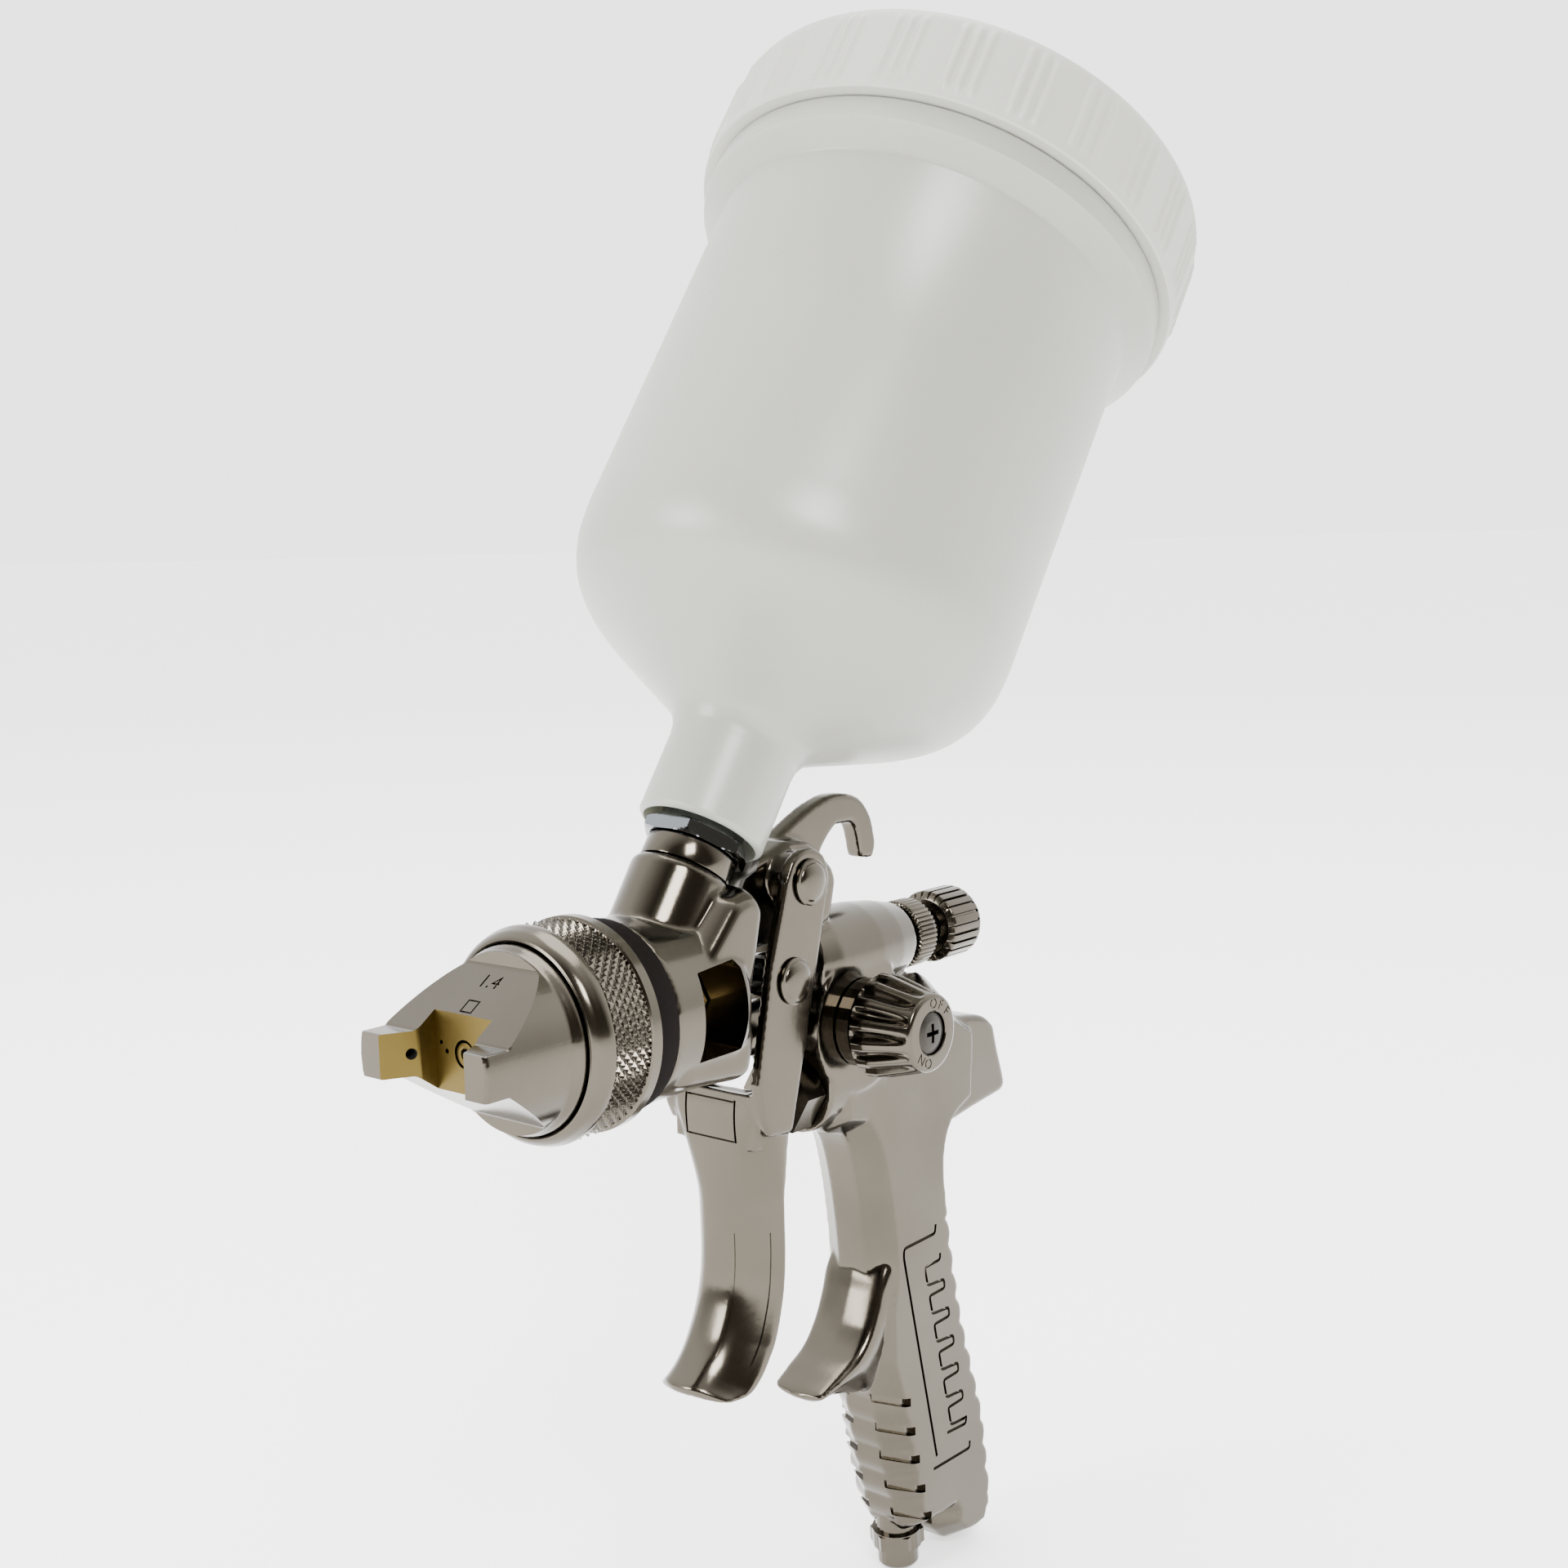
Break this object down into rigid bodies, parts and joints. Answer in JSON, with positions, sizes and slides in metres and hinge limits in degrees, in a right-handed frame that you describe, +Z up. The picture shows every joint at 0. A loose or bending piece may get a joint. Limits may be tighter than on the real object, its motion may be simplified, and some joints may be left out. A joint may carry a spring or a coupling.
{
  "type": "gravity feed spray gun",
  "caption": "Gravity-feed paint spray gun: horned air cap, plated body with hook, pull trigger, handle, side and rear adjusters and a tilted screw-lid cup.",
  "frame": {"origin": "flat seat inside the hanging hook, on the middle plane", "axes": "+Z up along the longest extent, +X backwards along the needle, +Y to the side away from the fan knob"},
  "size_m": [0.2065, 0.1072, 0.3355],
  "materials": {
    "satin_nickel": "satin nickel plate",
    "steel": "turned stainless",
    "brass": "turned",
    "black_seal": "matt",
    "spring_steel": "drawn wire",
    "ptfe": "matt",
    "cup_plastic": "milky, slightly translucent",
    "lid_plastic": "milky white"
  },
  "bodies": {
    "casting": {"gun_body": "satin_nickel", "fluid_nozzle": "brass", "air_baffle": "brass", "head_seal": "black_seal", "packing_seal": "ptfe", "packing_nut": "brass", "rear_bushing": "satin_nickel", "fan_valve_housing": "satin_nickel", "air_valve_nut": "satin_nickel", "air_valve_seat": "black_seal", "air_inlet_fitting": "satin_nickel", "pivot_pin": "satin_nickel", "inlet_sleeve": "satin_nickel"},
    "ring": {"retaining_ring": "satin_nickel"},
    "air_cap": {"air_cap": "satin_nickel"},
    "needle": {"fluid_needle": "steel", "needle_collar": "steel", "spring_cup": "brass", "needle_spring": "spring_steel"},
    "fluid_screw": {"fluid_spindle": "satin_nickel"},
    "fluid_knob": {"fluid_knob": "satin_nickel"},
    "lock_nut": {"lock_nut": "satin_nickel"},
    "fan_knob": {"fan_knob": "satin_nickel", "fan_knob_screw": "steel"},
    "fan_spindle": {"fan_spindle": "brass"},
    "trigger": {"trigger": "satin_nickel", "yoke_rivet_left": "satin_nickel", "yoke_rivet_right": "satin_nickel"},
    "needle_yoke": {"needle_yoke": "steel"},
    "air_valve": {"air_valve_stem": "steel", "air_valve_spring": "spring_steel"},
    "cup": {"cup": "cup_plastic", "cup_adapter": "steel", "cup_filter": "ptfe"},
    "lid_liner": {"lid_liner": "lid_plastic"},
    "lid": {"lid": "lid_plastic", "vent_plug": "lid_plastic"}
  },
  "joints": [
    {"name": "trigger_pull", "type": "hinge", "parent": "casting", "child": "trigger", "pos_m": [-0.0248, 0, -0.0076], "axis": [0, -1, 0], "range_deg": [0, 9], "stiffness_Nm_per_rad": 0.9, "springref_deg": -8.59},
    {"name": "yoke_tilt", "type": "hinge", "parent": "trigger", "child": "needle_yoke", "pos_m": [-0.0302, 0, -0.0264], "axis": [0, -1, 0], "range_deg": [-10, 1]},
    {"name": "needle_draw", "type": "slide", "parent": "casting", "child": "needle", "axis": [1, 0, 0], "range_m": [0, 0.00311], "stiffness_N_per_m": 250, "springref_m": -0.004, "deforming": ["needle_spring"]},
    {"name": "air_valve_push", "type": "slide", "parent": "casting", "child": "air_valve", "axis": [1, 0, 0], "range_m": [0, 0.00744], "stiffness_N_per_m": 250, "springref_m": -0.004, "deforming": ["air_valve_spring"]},
    {"name": "fluid_screw_travel", "type": "slide", "parent": "casting", "child": "fluid_screw", "axis": [1, 0, 0], "range_m": [0, 0.0031]},
    {"name": "fluid_knob_turn", "type": "hinge", "parent": "fluid_screw", "child": "fluid_knob", "pos_m": [0.0372, 0, -0.0273], "axis": [1, 0, 0], "range_deg": [0, 1080]},
    {"name": "lock_nut_turn", "type": "hinge", "parent": "casting", "child": "lock_nut", "pos_m": [0.0232, 0, -0.0273], "axis": [1, 0, 0], "continuous": true},
    {"name": "ring_turn", "type": "hinge", "parent": "casting", "child": "ring", "pos_m": [-0.0818, 0, -0.0273], "axis": [1, 0, 0], "continuous": true},
    {"name": "air_cap_turn", "type": "hinge", "parent": "casting", "child": "air_cap", "pos_m": [-0.0968, 0, -0.0273], "axis": [1, 0, 0], "range_deg": [-90, 90]},
    {"name": "fan_knob_turn", "type": "hinge", "parent": "casting", "child": "fan_knob", "pos_m": [-0.0051, -0.02, -0.04], "axis": [0, -1, 0], "range_deg": [0, 300]},
    {"name": "fan_spindle_travel", "type": "slide", "parent": "fan_knob", "child": "fan_spindle", "axis": [0, 1, 0], "range_m": [0, 0.00105]},
    {"name": "cup_turn", "type": "hinge", "parent": "casting", "child": "cup", "pos_m": [-0.02908, 0, 0.02185], "axis": [0.5736, 0, 0.8192], "continuous": true},
    {"name": "lid_lift", "type": "slide", "parent": "cup", "child": "lid_liner", "axis": [0.5736, 0, 0.8192], "range_m": [0, 0.0161]},
    {"name": "lid_turn", "type": "hinge", "parent": "lid_liner", "child": "lid", "pos_m": [0.04663, 0, 0.12998], "axis": [0.5736, 0, 0.8192], "range_deg": [0, 720]}
  ],
  "couplings": [
    {"joint": "needle_draw", "follows": "trigger_pull", "m_per_rad": 0.01914},
    {"joint": "yoke_tilt", "follows": "trigger_pull", "ratio": -1},
    {"joint": "air_valve_push", "follows": "trigger_pull", "m_per_rad": 0.0467},
    {"joint": "fluid_screw_travel", "follows": "fluid_knob_turn", "m_per_rad": 0.00015915},
    {"joint": "fan_spindle_travel", "follows": "fan_knob_turn", "m_per_rad": 0.0002},
    {"joint": "lid_lift", "follows": "lid_turn", "m_per_rad": 0.0012732}
  ]
}
